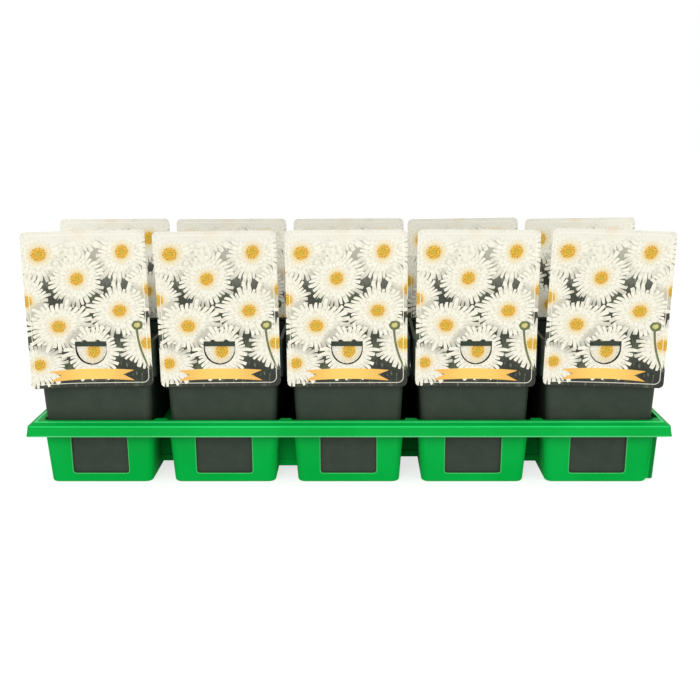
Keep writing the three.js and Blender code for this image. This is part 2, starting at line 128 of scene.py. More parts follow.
def round_pin(radius, low, high, steps):
    """Upright cylinder: a tower whose corners take up its whole sides."""
    return tower([(z, radius, radius, radius - 0.01) for z in (low, high)], steps)


def moved(solid, x=0.0, y=0.0, half_turn=False):
    """The solid turned half a turn about the upright axis where asked, then moved."""
    points, faces = solid
    return points * ([-1, -1, 1] if half_turn else [1, 1, 1]) + [x, y, 0], faces


def gathered(solids):
    """Several solids as one mesh: points end to end, faces counted on."""
    starts = np.cumsum([0] + [len(points) for points, _ in solids[:-1]])
    faces = [[i + start for i in face] for (_, fs), start in zip(solids, starts) for face in fs]
    return np.concatenate([points for points, _ in solids]), faces


def linked(name, data):
    """An object in the scene, made from a mesh, a lamp or a camera."""
    made = bpy.data.objects.new(name, data)
    bpy.context.scene.collection.objects.link(made)
    return made


def solid_object(name, solid):
    """A mesh object from points in millimetres and faces."""
    points, faces = solid
    mesh = bpy.data.meshes.new(name)
    mesh.from_pydata((points * MM).tolist(), [], faces)
    mesh.validate()
    return linked(name, mesh)


def carved(name, base, steps):
    """The base solid with each (operation, solid) of the steps applied in turn."""
    made = solid_object(name, base)
    tools = []
    for operation, solid in steps:
        tools.append(solid_object(name + "_tool", solid))
        modifier = made.modifiers.new("carve", "BOOLEAN")
        modifier.operation, modifier.solver, modifier.object = operation, "MANIFOLD", tools[-1]
    bpy.context.view_layer.update()
    evaluated = made.evaluated_get(bpy.context.evaluated_depsgraph_get())
    mesh = bpy.data.meshes.new_from_object(evaluated)
    made.modifiers.clear()
    made.data = mesh
    mesh.name = name
    mesh.materials.clear()
    mesh.polygons.foreach_set("material_index", np.zeros(len(mesh.polygons), np.int32))
    for tool in tools:
        bpy.data.objects.remove(tool)
    return made


def smoothed(piece, edge):
    """Smooth shading, a small bevel of the given width on sharp edges, and flats kept flat."""
    piece.data.shade_smooth()
    bevel = piece.modifiers.new("edge", "BEVEL")
    bevel.width, bevel.segments, bevel.limit_method = edge * MM, 2, "ANGLE"
    bevel.angle_limit, bevel.use_clamp_overlap = math.radians(BEVEL_OVER), False
    piece.modifiers.new("flats", "WEIGHTED_NORMAL").keep_sharp = True


def well_half(z):
    return WELL_HALF + WELL_TAPER * z


def well_outside():
    """Tapered rounded square with its lowest edge turned in by a quarter circle."""
    levels = []
    for angle in np.linspace(0, math.pi / 2, 5):
        inset = WELL_FOOT * (1 - math.sin(angle))
        half = well_half(0) - inset
        levels.append((WELL_FOOT * (1 - math.cos(angle)), half, half, WELL_RADIUS - inset))
    top = well_half(SADDLE_TOP)
    return tower(levels + [(SADDLE_TOP, top, top, WELL_RADIUS)])


def well_hollow():
    """The well's inside, its lowest edge cut off, open past the rim."""
    low, high = well_half(WELL_FLOOR) - WALL, well_half(RIM_TOP + CUT_PAST) - WALL
    foot, corner = low - WELL_INNER_FOOT, WELL_RADIUS - WALL
    return tower([(WELL_FLOOR, foot, foot, corner - WELL_INNER_FOOT),
                  (WELL_FLOOR + WELL_INNER_FOOT, low, low, corner),
                  (RIM_TOP + CUT_PAST, high, high, corner)])


def upright_plate(outline, y0, y1):
    """Plate between two depths, its outline given counterclockwise as seen from the front."""
    count = len(outline)
    front = np.stack([outline[:, 0], np.full(count, y0), outline[:, 1]], 1)
    back = front + [0, y1 - y0, 0]
    this = np.arange(count)
    following = (this + 1) % count
    faces = np.stack([this, this + count, following + count, following], 1).tolist()
    faces += [list(range(count)), list(range(2 * count))[:count - 1:-1]]
    return np.concatenate([front, back]), faces


def window_opening():
    """Rounded rectangle through the well's front face."""
    middle = (WINDOW["high"] + WINDOW["low"]) / 2
    outline = rounded_rectangle(WINDOW["half"], middle - WINDOW["low"], WINDOW["radius"], 6)
    front, back = -well_half(WINDOW["high"]) - CUT_PAST, WINDOW["deep"] - well_half(0)
    return upright_plate(outline + [0, middle], front, back)


def pocket(inset, high):
    """Bulge of the end wall beside the outer pot: a tapered box with a rounded outer edge."""
    inner = POCKET["inner"]
    levels = []
    for z in (POCKET["floor"] + inset, high):
        out = well_half(z) + POCKET["out"] - inset
        ring = rounded_rectangle((out - inner) / 2, POCKET["half"] - inset, POCKET["corner"], 6)
        levels.append(level_ring(ring + [(out + inner) / 2, 0], z))
    return stacked(levels)


def around(section, end_stretch=1.0):
    """A closed section (offset, height) carried round the tray, at the ends its offsets past the
    rim's inner edge times the stretch; in plan the ledge's corner is nearly square and the
    skirt's a little rounder."""
    section = softened(section)
    radius = np.interp(section[:, 0], [45, 49.5, 53.0, 58.0, 60.0], [7, 5.8, 1.6, 3.2, 5.0])
    end = RIM_INNER + (section[:, 0] - RIM_INNER) * end_stretch
    rings = np.array([level_ring(rounded_rectangle(2 * PITCH + e, PITCH / 2 + o, r, 10), z)
                      for (o, z), e, r in zip(section, end, radius)])
    return rings.reshape(-1, 3), grid_faces(*rings.shape[:2], close_rows=True)[:, ::-1].tolist()


def gap_half(z):
    """Half the gap between two wells at a height, less half a wall on either side."""
    return PITCH / 2 - well_half(z) + WALL / 2


def cross_web(proud):
    """Thin upright wall over a gap, widest at the foot, with a proud band along its foot."""
    band = WEB["low"] + WEB["band"]
    depth = [(WEB["low"], -proud), (band, -proud), (band + 1.0, 0.0), (WEB["high"], 0.0)]
    rings = []
    for z, front in depth:
        half, back = gap_half(z), WEB["thick"]
        rings.append([(half, back, z), (-half, back, z), (-half, front, z), (half, front, z)])
    return stacked(rings)


def turned(solid):
    """A quarter turn about the upright axis."""
    points, faces = solid
    return points[:, [1, 0, 2]] * [-1, 1, 1], faces


def both_ways(solid):
    return [solid, moved(solid, half_turn=True)]


every_well = [(x, y, row) for row, y in ROW_Y.items() for x in COLUMN_X]
webs = []
for x, stands_ahead in zip(COLUMN_X, WEB_AHEAD):
    web = cross_web(WEB["band_proud"])
    webs += both_ways(moved(web, x + PITCH / 2, ROW_Y["front"] - stands_ahead))
webs += [moved(turned(cross_web(0.0)), x) for x in COLUMN_X]

root = ROW_Y["front"] - well_half(RIM_TOP) - TAB["in_wall"]
tip = root + TAB["deep"]
outline = np.array([(TAB["tip_half"], tip), (-TAB["tip_half"], tip),
                    (-TAB["root_half"], root), (TAB["root_half"], root)])
tab = stacked([level_ring(outline, z) for z in (RIM_TOP - TAB["under"], RIM_TOP + TAB["over"])])
tabs = []
for x in COLUMN_X[:-1]:
    tabs += both_ways(moved(tab, x + PITCH / 2))

low_wall = SADDLE_TOP - WALL
saddle_half = well_half(SADDLE_TOP) - WALL / 2
saddle = tower([(z, 2 * PITCH + saddle_half, PITCH / 2 + saddle_half, WELL_RADIUS - WALL / 2)
                for z in (low_wall, SADDLE_TOP)])
upper_wall = around([(well_half(RIM_TOP) - WALL, RIM_TOP, 0.3), (well_half(RIM_TOP), RIM_TOP, 0.3),
                     (well_half(low_wall), low_wall, 0.3), (well_half(low_wall) - WALL, low_wall, 0.3)])
end_x = COLUMN_X[-1]
end_pockets = both_ways(moved(pocket(0.0, RIM_TOP - POCKET["below_rim"]), end_x, ROW_Y["front"]))
pocket_hollows = both_ways(moved(pocket(WALL, RIM_TOP + CUT_PAST), end_x, ROW_Y["front"]))
wells = [moved(well_outside(), x, y) for x, y, _ in every_well]
hollows = [moved(well_hollow(), x, y) for x, y, _ in every_well]
windows = [moved(window_opening(), x, y, half_turn=row == "rear") for x, y, row in every_well]
drain = round_pin(DRAIN["radius"], -CUT_PAST, DRAIN["top"], 8)
drains = [moved(drain, x, y) for x, y, _ in every_well]
rib = tower([(z, RIB["half_long"] - inset, RIB["half_wide"] - inset, RIB["corner"])
             for z, inset in RIB_LEVELS], steps=3)
ribs = [moved(rib, x, y + side) for x, y, _ in every_well for side in (-RIB["at"], RIB["at"])]

tray = carved("tray_moulding", saddle, [
    ("UNION", gathered(wells)), ("UNION", upper_wall), ("UNION", around(RIM_SECTION, RIM_END_STRETCH)),
    ("UNION", gathered(end_pockets)), *[("UNION", web) for web in webs],
    ("DIFFERENCE", gathered(hollows)), ("DIFFERENCE", gathered(pocket_hollows)),
    ("DIFFERENCE", gathered(windows)), ("DIFFERENCE", gathered(drains)),
    ("UNION", gathered(tabs)), ("UNION", gathered(ribs))])
smoothed(tray, edge=0.3)


class Value:
    """A shader socket in an expression: arithmetic on it adds the Math nodes."""

    def __init__(self, finish, socket):
        self.finish = finish
        self.socket = socket

    def __add__(self, other):
        return self.finish.math("ADD", self, other)

    def __sub__(self, other):
        return self.finish.math("SUBTRACT", self, other)

    def __rsub__(self, other):
        return self.finish.math("SUBTRACT", other, self)

    def __mul__(self, other):
        return self.finish.math("MULTIPLY", self, other)

    def __truediv__(self, other):
        return self.finish.math("DIVIDE", self, other)

    def __abs__(self):
        return self.finish.math("ABSOLUTE", self)

    __radd__ = __add__
    __rmul__ = __mul__


class Finish:
    """One procedural material on a Principled surface."""

    def __init__(self, name, **constants):
        self.material = bpy.data.materials.new(name)
        self.material.use_nodes = True
        self.nodes = self.material.node_tree.nodes
        self.links = self.material.node_tree.links
        self.surface = self.nodes["Principled BSDF"]
        for key, value in constants.items():
            self.surface.inputs[key.replace("_", " ")].default_value = value

    def node(self, kind, settings, inputs):
        """Adds a node: its settings first, then values or links to its sockets."""
        made = self.nodes.new(kind)
        for key, value in settings.items():
            setattr(made, key, value)
        for key, value in inputs.items():
            self.feed(made.inputs[key], value)
        outputs = {output.name: Value(self, output) for output in made.outputs}
        return outputs | {index: Value(self, output) for index, output in enumerate(made.outputs)}

    def feed(self, socket, value):
        if isinstance(value, Value):
            self.links.new(value.socket, socket)
        elif isinstance(value, tuple) and len(value) == 3 and socket.type == "RGBA":
            socket.default_value = (*value, 1)
        else:
            socket.default_value = value

    def math(self, operation, *terms):
        return self.node("ShaderNodeMath", {"operation": operation}, dict(enumerate(terms)))["Value"]

    def vector(self, operation, *terms):
        made = self.node("ShaderNodeVectorMath", {"operation": operation}, dict(enumerate(terms)))
        return made["Value" if operation in ("LENGTH", "DOT_PRODUCT") else "Vector"]

    def parts(self, vector):
        return self.node("ShaderNodeSeparateXYZ", {}, {"Vector": vector})

    def plane(self, x, y):
        return self.node("ShaderNodeCombineXYZ", {}, {"X": x, "Y": y})["Vector"]

    def mix(self, factor, a, b):
        return self.node("ShaderNodeMix", {"data_type": "RGBA"}, {0: factor, 6: a, 7: b})[2]

    def smooth(self, value, low, high, out_low=0.0, out_high=1.0):
        """Smooth step of the value from low to high."""
        return self.node("ShaderNodeMapRange", {"interpolation_type": "SMOOTHSTEP"},
                         {"Value": value, "From Min": low, "From Max": high,
                          "To Min": out_low, "To Max": out_high})[0]

    def noise(self, place, scale, detail=3.0, rough=0.55):
        return self.node("ShaderNodeTexNoise", {}, {
            "Vector": place, "Scale": scale, "Detail": detail, "Roughness": rough})["Fac"]

    def place(self):
        return self.node("ShaderNodeTexCoord", {}, {})["Object"]

    def done(self, **linked):
        for key, value in linked.items():
            self.feed(self.surface.inputs[key.replace("_", " ")], value)
        return self.material

    def bump(self, height, strength, distance):
        return self.node("ShaderNodeBump", {}, {
            "Height": height, "Strength": strength, "Distance": distance})["Normal"]


def tray_plastic():
    """Clear green, a little duller in broad clouds, with fine moulding grain. The rim's edges,
    found by their offset and height, and the window's edge get painted highlights; the lowest
    rim line is moulding flash with a painted highlight on it. The gaps between the wells get
    painted shade, more of it further in, and so do the pockets' sides."""
    finish = Finish("green_polypropylene", Specular_IOR_Level=0.05)
    place = finish.place()
    clouds = finish.noise(place, 14.0, 2.0)
    grain = finish.noise(place, 900.0, 2.0)
    scuffs = finish.noise(finish.vector("MULTIPLY", place, (30.0, 30.0, 400.0)), 1.0, 4.0, 0.7)
    tone = finish.mix(finish.smooth(clouds, 0.35, 0.7), (0.0, 0.285, 0.036), (0.001, 0.32, 0.045))
    tone = finish.mix(finish.smooth(scuffs, 0.62, 0.8, 0.0, 0.12), tone, (0.05, 0.36, 0.10))
    at = finish.parts(finish.vector("MULTIPLY", place, (1000.0,) * 3))
    past_well = abs(at["X"]) - 2 * PITCH - WELL_HALF - at["Z"] * WELL_TAPER
    between = finish.smooth(abs(at["Y"]), 92.0, 55.0) * finish.smooth(past_well, -3.0, -6.0)
    pocket_side = finish.smooth(past_well, 0.4, 1.4, 0.0, 0.75) * finish.smooth(abs(at["Y"]), 95.0, 97.5)
    # Painted shade: the gaps between the wells darken further in, and so do the pockets' sides.
    painted_shade = finish.math("MAXIMUM", between, pocket_side)
    tone = finish.mix(painted_shade * finish.smooth(at["Z"], 46.5, 44.5), tone, (0.0, 0.10, 0.014))
    end = (abs(at["X"]) - 2 * PITCH - RIM_INNER) / RIM_END_STRETCH + RIM_INNER
    offset = finish.math("MAXIMUM", end, abs(at["Y"]) - PITCH / 2)
    # Painted highlights along the rim's upper edge and the skirt's top edge; the line at the skirt's foot
    # is moulding flash with a painted highlight.
    for out, high, wide, pale, colour in (
            (53.6, 58.5, 1.3, 0.85, (0.06, 0.74, 0.22)), (58.9, 55.4, 0.9, 0.60, (0.02, 0.63, 0.17)),
            (60.1, 46.5, 0.8, 0.75, (0.14, 0.66, 0.27))):
        off = finish.vector("LENGTH", finish.plane(offset - out, at["Z"] - high))
        edge = finish.smooth(off, wide, wide * 0.4, 0.0, pale)
        tone = finish.mix(edge * (0.5 + clouds), tone, colour)
    # Painted highlight: a pale line round each window's cut edge.
    middle, high = (WINDOW["high"] + WINDOW["low"]) / 2, (WINDOW["high"] - WINDOW["low"]) / 2
    past_side = finish.math("PINGPONG", at["X"], PITCH / 2) - (WINDOW["half"] - WINDOW["radius"])
    past_end = abs(at["Z"] - middle) - (high - WINDOW["radius"])
    past = finish.vector("MAXIMUM", finish.plane(past_side, past_end), (0.0, 0.0, 0.0))
    border = abs(finish.vector("LENGTH", past) - WINDOW["radius"] - 0.25)
    tone = finish.mix(finish.smooth(border, 0.55, 0.25, 0.0, 0.45), tone, (0.13, 0.52, 0.19))
    between_pots = finish.smooth(offset, 49.0, 46.0) * finish.smooth(at["Z"], 52.0, 48.0)
    return finish.done(
        Base_Color=tone, Roughness=0.36 + 0.12 * clouds + 0.08 * scuffs + 0.5 * between_pots,
        Normal=finish.bump(grain, 0.12, 0.0002))


tray.data.materials.append(tray_plastic())
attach(tray, "root")
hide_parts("tray")


# Nursery pots: square, of thin, dark recycled polypropylene, each standing on the ribs of its
# well. A deep collar steps out above the tapered wall and ends in a rounded lip; its front
# has a shallow seat with a bar across it, on which the label is hooked.

POT_PROFILE = [  # half width, height, corner radius in plan, rounding of that edge
    (42.4, 5.0, 4.6, 0.0), (44.0, 5.0, 6.0, 1.4), (48.9, 98.6, 6.0, 0.4), (54.2, 98.6, 6.0, 1.0),
    (54.2, 132.5, 6.0, 1.0), (51.2, 132.5, 3.2, 1.0), (51.2, 130.1, 3.2, 0.5), (52.6, 129.0, 4.6, 0.5),
    (52.6, 100.2, 4.6, 0.5), (47.6, 100.2, 4.8, 0.6), (42.9, 6.5, 4.8, 1.2), (41.4, 6.5, 3.4, 0.0)]
POT_STEPS = 7
POT_LIP = 132.5
COLLAR_FACE = -54.2
SEAT = {"half": 15.5, "low": 104.0, "deep": 2.3, "wall": 1.6}
SEAT_BLOCK = {"low": 102.4, "high": 130.1, "in_collar": 0.7}
BAR = {"low": 126.5, "high": 130.3, "thick": 1.0, "into_collar": 0.8}
POT_HOLE = {"radius": 4.0, "at": 15.0, "low": 3.0, "high": 8.5}
NUB = {"at": 5.8, "half": 2.3, "top": 132.2}


def pot_shell():
    """The profile, its edges rounded, carried round a rounded square; flat floor inside and out."""
    inner = softened(POT_PROFILE[1:-1])
    profile = np.concatenate([[POT_PROFILE[0][:3]], inner, [POT_PROFILE[-1][:3]]])
    return tower([(z, half, half, radius) for half, z, radius in profile], POT_STEPS)


def block(half, y0, y1, z0, z1):
    """Upright block, as wide on either side of the middle."""
    return moved(tower([(z, half, (y1 - y0) / 2, 0.01) for z in (z0, z1)], steps=1), 0.0, (y0 + y1) / 2)


def nub_arch(half, low, top, x):
    """Half ellipse standing on a height: x + half * cos(a), low + (top - low) * sin(a)."""
    arc = np.linspace(0, np.pi, 13)
    return np.stack([x + half * np.cos(arc), low + (top - low) * np.sin(arc)], 1)


def bar_with_nubs():
    """Bar outline seen from the front: straight below, two low arches standing on its top."""
    half = SEAT["half"] + BAR["into_collar"]
    nubs = [nub_arch(NUB["half"], BAR["high"], NUB["top"], x) for x in (NUB["at"], -NUB["at"])]
    outline = np.concatenate([[(-half, BAR["low"]), (half, BAR["low"]), (half, BAR["high"])], *nubs,
                              [(-half, BAR["high"])]])
    return upright_plate(outline, COLLAR_FACE, COLLAR_FACE + BAR["thick"])


hole = round_pin(POT_HOLE["radius"], POT_HOLE["low"], POT_HOLE["high"], 4)
hole_places = (-POT_HOLE["at"], POT_HOLE["at"])
pot_holes = [moved(hole, x, y) for x in hole_places for y in hole_places]
seat_back = COLLAR_FACE + SEAT["deep"]
seat_block = block(SEAT["half"] + SEAT["wall"], COLLAR_FACE + SEAT_BLOCK["in_collar"],
                   seat_back + SEAT["wall"], SEAT_BLOCK["low"], SEAT_BLOCK["high"])
seat_hollow = block(SEAT["half"], COLLAR_FACE - CUT_PAST, seat_back, SEAT["low"], POT_LIP + CUT_PAST)
pot_pattern = carved("pot_pattern", pot_shell(), [
    ("UNION", seat_block), ("DIFFERENCE", seat_hollow), ("DIFFERENCE", gathered(pot_holes)),
    ("UNION", bar_with_nubs())])


def pot_plastic():
    """Greenish charcoal, faintly mottled by the recycled stock, matt with a few pale rubs."""
    finish = Finish("charcoal_polypropylene", Specular_IOR_Level=0.2)
    place = finish.place()
    mottle = finish.noise(place, 60.0, 4.0, 0.7)
    grain = finish.noise(place, 1400.0, 2.0)
    rubs = finish.noise(finish.vector("MULTIPLY", place, (500.0, 500.0, 25.0)), 1.0, 3.0, 0.6)
    tone = finish.mix(finish.smooth(mottle, 0.35, 0.7), (0.020, 0.031, 0.020), (0.027, 0.038, 0.025))
    tone = finish.mix(finish.smooth(rubs, 0.66, 0.85, 0.0, 0.25), tone, (0.065, 0.08, 0.065))
    return finish.done(
        Base_Color=tone, Roughness=0.46 + 0.16 * mottle, Normal=finish.bump(grain, 0.15, 0.0002))


def mesh_points(mesh):
    """The points of a mesh, in metres."""
    points = np.empty(len(mesh.vertices) * 3)
    mesh.vertices.foreach_get("co", points)
    return points.reshape(-1, 3)


def copy_at(pattern, name, x, y):
    """A copy of a pattern's mesh with its place worked into the points."""
    mesh = pattern.data.copy()
    mesh.vertices.foreach_set("co", (mesh_points(mesh) + [x * MM, y * MM, 0]).ravel())
    mesh.name = name
    return linked(name, mesh)


pot_finish = pot_plastic()
spots = [(f"{row}_{column + 1}", x, y) for row, y in ROW_Y.items() for column, x in enumerate(COLUMN_X)]
for spot, x, y in spots:
    pot = copy_at(pot_pattern, f"pot_shell_{spot}", x, y)
    smoothed(pot, edge=0.25)
    pot.data.materials.append(pot_finish)
    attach(pot, "root")
    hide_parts(f"pot_{spot}")
bpy.data.objects.remove(pot_pattern)


# Compost: dark peat with bark fibres and white perlite, filled to 15 mm below the lip and
# settled into a low mound round the crown. It takes the pot's shape inside.

COMPOST_TOP = 117.0
COMPOST_CORNER = 4.2
COMPOST_WALL = ((43.9, 6.9), (47.4, 100.4), (52.1, 100.5))  # half width, height
COMPOST_MOUND = 1.3
WAVE_KINDS = ((0.08, 0.16), (0.3, 0.11), (0.9, 0.07))  # waves per mm, height of each
WAVES_OF_A_KIND = 20


def compost_lump(seed):
    """A displaced disc-like sheet on top of a plain lump: rings shrink from the wall to the
    middle, and the height is a low mound plus seeded waves, finer ones weaker."""
    draw = np.random.default_rng(seed)
    share = np.linspace(1, 0.16, 26)
    wide, steps = COMPOST_WALL[-1][0], 12
    top = np.array([rounded_rectangle(wide * s, wide * s, max(COMPOST_CORNER * s, 0.3), steps)
                    for s in share])
    fine, high = np.repeat(WAVE_KINDS, WAVES_OF_A_KIND, axis=0).T
    wave = draw.normal(0, 1, (len(fine), 2)) * fine[:, None]
    phase = draw.uniform(0, 2 * np.pi, len(fine))
    height = (np.cos(top @ wave.T + phase) * high).sum(-1)
    mound = COMPOST_MOUND * np.cos(np.clip(np.abs(top).max(-1) / wide, 0, 1) * np.pi / 2)
    edge = np.clip((1 - share) * 12, 0, 1)[:, None]
    z = COMPOST_TOP - 0.3 + (mound + height * 0.8) * edge
    wall = [level_ring(rounded_rectangle(half, half, COMPOST_CORNER, steps), level)
            for half, level in COMPOST_WALL]
    return stacked(wall + [np.c_[ring, levels] for ring, levels in zip(top, z)])


def compost():
    """Near-black brown crumbs; fibres by stretched noise, perlite where a cell draws high."""
    finish = Finish("peat_compost", Roughness=0.95, Specular_IOR_Level=0.2)
    place = finish.place()
    crumbs = finish.noise(place, 420.0, 6.0, 0.75)
    fibres = finish.noise(finish.vector("MULTIPLY", place, (1500.0, 260.0, 700.0)), 1.0, 3.0, 0.6)
    cell = finish.node("ShaderNodeTexVoronoi", {}, {"Vector": place, "Scale": 260.0, "Randomness": 1.0})
    drawn = finish.node("ShaderNodeSeparateColor", {}, {"Color": cell["Color"]})["Red"]
    perlite = finish.smooth(drawn, 0.93, 0.94) * finish.smooth(cell["Distance"], 0.45, 0.3)
    tone = finish.mix(crumbs, (0.008, 0.005, 0.003), (0.075, 0.045, 0.026))
    tone = finish.mix(finish.smooth(fibres, 0.6, 0.75, 0.0, 0.6), tone, (0.16, 0.09, 0.045))
    tone = finish.mix(perlite, tone, (0.62, 0.60, 0.55))
    return finish.done(Base_Color=tone, Normal=finish.bump(crumbs + 0.5 * perlite, 0.9, 0.002))


compost_finish = compost()
for number, (spot, x, y) in enumerate(spots):
    lump = solid_object(f"compost_{spot}", moved(compost_lump(40 + number), x, y))
    lump.data.shade_smooth()
    lump.data.materials.append(compost_finish)
    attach(lump, "root")
    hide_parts(f"soil_{spot}")


# Plants: young leucanthemums, a short crown in the compost and a rosette of dark, leathery,
# spoon-shaped leaves with toothed edges and a pale midrib, low outside and steep inside.

LEAVES = 9
YOUNG_LEAVES = 5
YOUNG_SHARE = 0.62  # of a full leaf's length and width
GOLDEN_ANGLE = math.radians(137.5)
LEAF_THICK = 0.6
LEAF_START = 3.0  # from the plant's middle
LEAF_RISE = {"inner": 84.0, "outer": -34.0, "drawn": 6.0}  # of the stalk, degrees
LEAF_TIP = {"inner": 50.0, "outer": -55.0, "drawn": 14.0}  # of the tip, degrees
LEAF_LENGTH = {"inner": 57.0, "outer": -17.0, "drawn": 5.0}
LEAF_HALF_WIDTH = {"inner": 7.6, "outer": -1.2, "drawn": 1.2}
CROWN = ((110.9, 3.0), (114.0, 6.2), (118.8, 5.0), (120.0, 2.5))  # height, radius


def leaf_draws(seed):
    """Even draws from 0 to 1: each state is 16807 times the last, modulo 2^31 - 1."""
    factor, span = 16807, 2 ** 31 - 1
    state = seed
    while True:
        state = state * factor % span
        yield state / span


def leaf_blade(turn, rise, tip, length, half_width, wave):
    """Grid along s (0 to 1) and across t (-1 to 1). The midrib's slope turns evenly from rise
    to tip; half the width swells from a stalk to a spoon and swings with the teeth; the
    sides lift as t^2 and ripple along s."""
    s = np.linspace(0, 1, 45)
    t = np.linspace(-1, 1, 9)
    slope = rise + (tip - rise) * s
    step = length / (len(s) - 1)
    out = LEAF_START + np.concatenate([[0], np.cumsum(np.cos(slope[1:]) * step)])
    up = COMPOST_TOP + 0.3 + np.concatenate([[0], np.cumsum(np.sin(slope[1:]) * step)])
    swell = np.clip((s - 0.3) / 0.32, 0, 1) ** 1.5
    round_end = np.sqrt(np.clip(1 - ((s - 0.72) / 0.285) ** 2 * (s > 0.72), 0.0, 1))
    blade = swell * round_end
    teeth = 1 + 0.16 * (np.mod(s * 17, 1) - 0.5) * (s > 0.42)
    half = half_width * (0.13 + 0.87 * blade * teeth) * np.where(s > 0.985, 0.45, 1)
    ripple = 0.5 * np.sin(9 * s + wave)[:, None] * np.abs(t) ** 3 * blade[:, None]
    lift = 0.22 * half[:, None] * t ** 2 + ripple
    x = out[:, None] - np.sin(slope)[:, None] * lift
    y = half[:, None] * t
    z = up[:, None] + np.cos(slope)[:, None] * lift
    turned_x = x * np.cos(turn) - y * np.sin(turn)
    turned_y = x * np.sin(turn) + y * np.cos(turn)
    return np.stack([turned_x, turned_y, z], -1), np.stack(np.broadcast_arrays(s[:, None], t), -1)


def slab_faces(rows, columns):
    """Faces of a grid, of its copy that follows it, and of the strip round their edges."""
    count = rows * columns
    top = grid_faces(rows, columns, close_columns=False)
    i = np.arange(count).reshape(rows, columns)
    rim = np.concatenate([i[0, :-1], i[:-1, -1], i[-1, :0:-1], i[:0:-1, 0]])
    following = np.roll(rim, -1)
    rim_faces = np.stack([rim, following, following + count, rim + count], 1)
    return np.concatenate([top[:, ::-1], top + count, rim_faces])


def slab(surface, thick):
    """The surface moved half a thickness along its normals to either side, and closed."""
    rows, columns, _ = surface.shape
    across = np.gradient(surface, axis=1)
    along = np.gradient(surface, axis=0)
    normal = np.cross(along, across)
    normal /= np.linalg.norm(normal, axis=-1, keepdims=True)
    points = np.concatenate([(surface + normal * thick / 2).reshape(-1, 3),
                             (surface - normal * thick / 2).reshape(-1, 3)])
    return points, slab_faces(rows, columns).tolist()


def leaf_size(kind, outward, draw):
    """A size of a leaf: its inner value, its change to the outermost leaf and a drawn part."""
    return kind["inner"] + kind["outer"] * outward + kind["drawn"] * draw


def young_plant(seed):
    """Crown and leaves as one mesh, with the leaf's own coordinates kept for its material.
    The youngest leaves in the middle are smaller and stand more upright."""
    draws = leaf_draws(seed)
    solids, along = [], []
    for index in range(LEAVES + YOUNG_LEAVES):
        outward = 1 - min(index, LEAVES - 1) / (LEAVES - 1)
        turn = index * GOLDEN_ANGLE + 0.3 * (next(draws) - 0.5)
        rise = math.radians(leaf_size(LEAF_RISE, outward, next(draws) - 0.5))
        tip = math.radians(leaf_size(LEAF_TIP, outward, next(draws) - 0.5))
        length = leaf_size(LEAF_LENGTH, outward, next(draws) - 0.5)
        half_width = leaf_size(LEAF_HALF_WIDTH, outward, next(draws))
        if index >= LEAVES:
            length, half_width, tip = length * YOUNG_SHARE, half_width * YOUNG_SHARE, tip + 0.4
        surface, own = leaf_blade(turn, rise, tip, length * 0.985, half_width, seed + index)
        solids.append(slab(surface, LEAF_THICK))
        along.append(np.concatenate([own.reshape(-1, 2)] * 2))
    crown = tower([(z, radius, radius, radius - 0.1) for z, radius in CROWN], steps=4)
    solids.append(crown)
    along.append(np.zeros((len(crown[0]), 2)))
    return gathered(solids), np.concatenate(along)


def leaf_skin():
    """Deep green, lighter on the midrib and side veins, paler towards the stalk, with a waxy shine."""
    finish = Finish("leucanthemum_leaf", Specular_IOR_Level=0.45)
    own = finish.node("ShaderNodeAttribute", {"attribute_name": "along_across"}, {})["Vector"]
    parts = finish.parts(own)
    across = abs(parts["Y"])
    midrib = finish.smooth(across, 0.14, 0.03)
    veins = finish.smooth(abs(finish.math("FRACT", parts["X"] * 13.0 - across * 1.6) - 0.5), 0.1, 0.0)
    clouds = finish.noise(finish.place(), 160.0, 3.0)
    tone = finish.mix(clouds, (0.020, 0.062, 0.014), (0.055, 0.135, 0.030))
    tone = finish.mix(veins * 0.25, tone, (0.10, 0.20, 0.05))
    tone = finish.mix(midrib * 0.6, tone, (0.20, 0.30, 0.10))
    tone = finish.mix(finish.smooth(parts["X"], 0.3, 0.0, 0.0, 0.6), tone, (0.22, 0.30, 0.12))
    height = veins * 0.4 + midrib
    return finish.done(
        Base_Color=tone, Roughness=0.38 + 0.15 * clouds, Normal=finish.bump(height, 0.35, -0.0006))


leaf_finish = leaf_skin()
for number, (spot, x, y) in enumerate(spots):
    solid, own = young_plant(101 + 17 * number)
    plant = solid_object(f"leaf_rosette_{spot}", moved(solid, x, y))
    layer = plant.data.attributes.new("along_across", "FLOAT_VECTOR", "POINT")
    layer.data.foreach_set("vector", np.c_[own, np.zeros(len(own))].ravel())
    plant.data.shade_smooth()
    plant.data.materials.append(leaf_finish)
    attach(plant, "root")
    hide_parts(f"plant_{spot}")


# Labels: large sheets of thin, stiff polypropylene, 104 by 136 mm, with a printed picture of
# marguerites in front and bare behind. A half-round tongue cut from each runs over the pot's
# bar and down behind it, and two notches in its fold take the bar's nubs.

LABEL = {"half": 52.2, "low": 90.8, "high": 227.2, "radius": 4.5, "thick": 0.7, "back": -54.5}
TONGUE = {"half": 13.1, "low": 110.8, "root": 131.2, "slit": 0.6, "behind": -52.55}
NOTCH_LARGER = 0.5  # than the bar's nub that stands in it
LABEL_CUT = (-60.0, -50.0)  # depths between which the sheet is cut
LABEL_PIVOT = 126.0
BEND_ABOVE, BEND_BELOW = 131.0, 109.0  # the sheet is bent past these heights
LABEL_LEAN = {"front": (-0.8, -0.6, -0.3, 0.4, 1.7), "rear": (-0.3, -0.2, -0.2, -0.8, -0.8)}
LABEL_SHIFT = {"front": (-1.0, -0.5, -0.9, -0.2, 0.5), "rear": (0.0, 0.0, 0.0, -2.0, -2.0)}


def tongue_outline(half, low, high):
    """Half-round outline: straight top, short straight sides, semicircle below."""
    arc = np.linspace(np.pi, 2 * np.pi, 17)
    bow = np.stack([half * np.cos(arc), low + half + half * np.sin(arc)], 1)
    return np.concatenate([bow, [(half, high), (-half, high)]])


